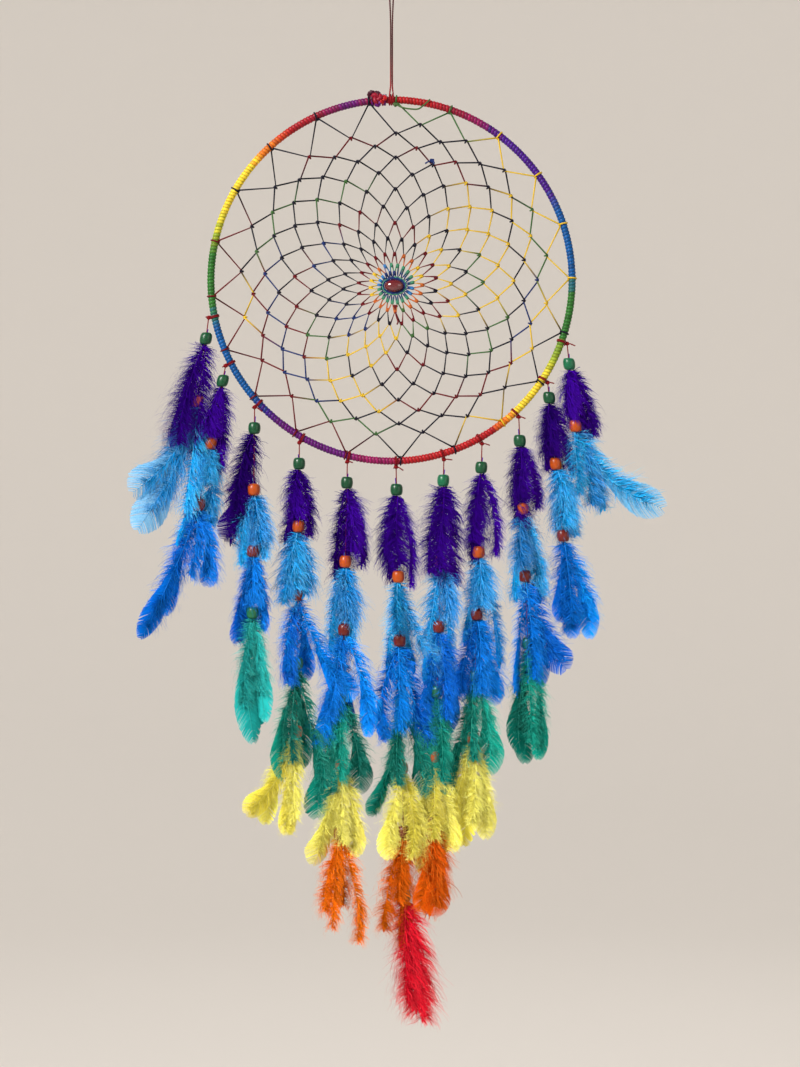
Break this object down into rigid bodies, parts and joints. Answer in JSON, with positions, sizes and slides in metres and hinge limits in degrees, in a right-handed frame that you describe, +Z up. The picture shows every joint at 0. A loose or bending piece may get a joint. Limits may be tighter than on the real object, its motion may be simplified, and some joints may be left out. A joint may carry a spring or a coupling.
{
  "type": "dream_catcher",
  "caption": "Dream catcher: a rainbow cord-wound hoop with a spiral thread web and a centre bead, hung by a cord loop, with hanging strands of beads and dyed feathers.",
  "frame": {"origin": "the nail, at the inner top of the hanging loop", "axes": "X to the right seen from the front, Y away from the viewer, Z up; the hoop lies in the XZ plane"},
  "size_m": [0.4829, 0.0382, 0.9092],
  "materials": {
    "hanger_cord": "twisted matt cord, dark red",
    "ring_steel": "plain wire, hidden",
    "wrap_cord": "satin cord, dyed in a rainbow along its length",
    "web_thread": "waxed thread, mostly near black, with red, yellow and green lengths",
    "bead_lacquer": "high gloss, dark red",
    "strand_cord": "thin red cord with painted wooden barrel beads",
    "feather_purple": "dyed feather, downy at the base",
    "feather_light_blue": "dyed feather, downy at the base",
    "feather_blue": "dyed feather, downy at the base",
    "feather_green": "dyed feather, downy at the base",
    "feather_yellow": "dyed feather, downy at the base",
    "feather_orange": "dyed feather, downy at the base",
    "feather_red": "dyed feather, downy at the base"
  },
  "bodies": {
    "hanger": {"hanger_loop": "hanger_cord"},
    "hitch": {"hanger_hitch": "hanger_cord"},
    "hoop": {"hoop_ring": "ring_steel", "hoop_wrap": "wrap_cord", "wrap_knot": "wrap_cord", "web_net": "web_thread", "centre_bead": "bead_lacquer"},
    "strand_01": {"strand_01_cord": "strand_cord", "strand_01_tuft_1": "feather_purple", "strand_01_tuft_2": "feather_light_blue"},
    "strand_02": {"strand_02_cord": "strand_cord", "strand_02_tuft_1": "feather_purple", "strand_02_tuft_2": "feather_light_blue", "strand_02_tuft_3": "feather_blue"},
    "strand_03": {"strand_03_cord": "strand_cord", "strand_03_tuft_1": "feather_purple", "strand_03_tuft_2": "feather_light_blue", "strand_03_tuft_3": "feather_blue", "strand_03_tuft_4": "feather_green"},
    "strand_04": {"strand_04_cord": "strand_cord", "strand_04_tuft_1": "feather_purple", "strand_04_tuft_2": "feather_light_blue", "strand_04_tuft_3": "feather_blue", "strand_04_tuft_4": "feather_green"},
    "strand_05": {"strand_05_cord": "strand_cord", "strand_05_tuft_1": "feather_purple", "strand_05_tuft_2": "feather_light_blue", "strand_05_tuft_3": "feather_blue", "strand_05_tuft_4": "feather_green", "strand_05_tuft_5": "feather_yellow"},
    "strand_06": {"strand_06_cord": "strand_cord", "strand_06_tuft_1": "feather_purple", "strand_06_tuft_2": "feather_light_blue", "strand_06_tuft_3": "feather_blue", "strand_06_tuft_4": "feather_green", "strand_06_tuft_5": "feather_yellow", "strand_06_tuft_6": "feather_orange"},
    "strand_07": {"strand_07_cord": "strand_cord", "strand_07_tuft_1": "feather_purple", "strand_07_tuft_2": "feather_light_blue", "strand_07_tuft_3": "feather_blue", "strand_07_tuft_4": "feather_green", "strand_07_tuft_5": "feather_yellow"},
    "strand_08": {"strand_08_cord": "strand_cord", "strand_08_tuft_1": "feather_purple", "strand_08_tuft_2": "feather_light_blue", "strand_08_tuft_3": "feather_blue", "strand_08_tuft_4": "feather_green"},
    "strand_09": {"strand_09_cord": "strand_cord", "strand_09_tuft_1": "feather_purple", "strand_09_tuft_2": "feather_light_blue", "strand_09_tuft_3": "feather_blue", "strand_09_tuft_4": "feather_green"},
    "strand_10": {"strand_10_cord": "strand_cord", "strand_10_tuft_1": "feather_purple", "strand_10_tuft_2": "feather_light_blue", "strand_10_tuft_3": "feather_blue"},
    "strand_11": {"strand_11_cord": "strand_cord", "strand_11_tuft_1": "feather_purple", "strand_11_tuft_2": "feather_light_blue"}
  },
  "joints": [
    {"name": "hoop_turn", "type": "hinge", "parent": "hanger", "child": "hitch", "pos_m": [0, 0, -0.1048], "axis": [0, 0, 1], "range_deg": [-180, 180]},
    {"name": "hoop_tilt", "type": "hinge", "parent": "hitch", "child": "hoop", "pos_m": [0, 0, -0.1121], "axis": [1, 0, 0], "range_deg": [-60, 60]},
    {"name": "strand_01_swing", "type": "hinge", "parent": "hoop", "child": "strand_01", "pos_m": [-0.15767, 0, -0.29988], "axis": [1, 0, 0], "range_deg": [-75, 75]},
    {"name": "strand_02_swing", "type": "hinge", "parent": "hoop", "child": "strand_02", "pos_m": [-0.14311, 0, -0.34135], "axis": [1, 0, 0], "range_deg": [-75, 75]},
    {"name": "strand_03_swing", "type": "hinge", "parent": "hoop", "child": "strand_03", "pos_m": [-0.11806, 0, -0.37712], "axis": [1, 0, 0], "range_deg": [-75, 75]},
    {"name": "strand_04_swing", "type": "hinge", "parent": "hoop", "child": "strand_04", "pos_m": [-0.07948, 0, -0.4077], "axis": [1, 0, 0], "range_deg": [-75, 75]},
    {"name": "strand_05_swing", "type": "hinge", "parent": "hoop", "child": "strand_05", "pos_m": [-0.03811, 0, -0.42412], "axis": [1, 0, 0], "range_deg": [-75, 75]},
    {"name": "strand_06_swing", "type": "hinge", "parent": "hoop", "child": "strand_06", "pos_m": [0.00393, 0, -0.42865], "axis": [1, 0, 0], "range_deg": [-75, 75]},
    {"name": "strand_07_swing", "type": "hinge", "parent": "hoop", "child": "strand_07", "pos_m": [0.04516, 0, -0.42223], "axis": [1, 0, 0], "range_deg": [-75, 75]},
    {"name": "strand_08_swing", "type": "hinge", "parent": "hoop", "child": "strand_08", "pos_m": [0.07801, 0, -0.40853], "axis": [1, 0, 0], "range_deg": [-75, 75]},
    {"name": "strand_09_swing", "type": "hinge", "parent": "hoop", "child": "strand_09", "pos_m": [0.10973, 0, -0.38548], "axis": [1, 0, 0], "range_deg": [-75, 75]},
    {"name": "strand_10_swing", "type": "hinge", "parent": "hoop", "child": "strand_10", "pos_m": [0.13464, 0, -0.3559], "axis": [1, 0, 0], "range_deg": [-75, 75]},
    {"name": "strand_11_swing", "type": "hinge", "parent": "hoop", "child": "strand_11", "pos_m": [0.15139, 0, -0.3223], "axis": [1, 0, 0], "range_deg": [-75, 75]}
  ]
}
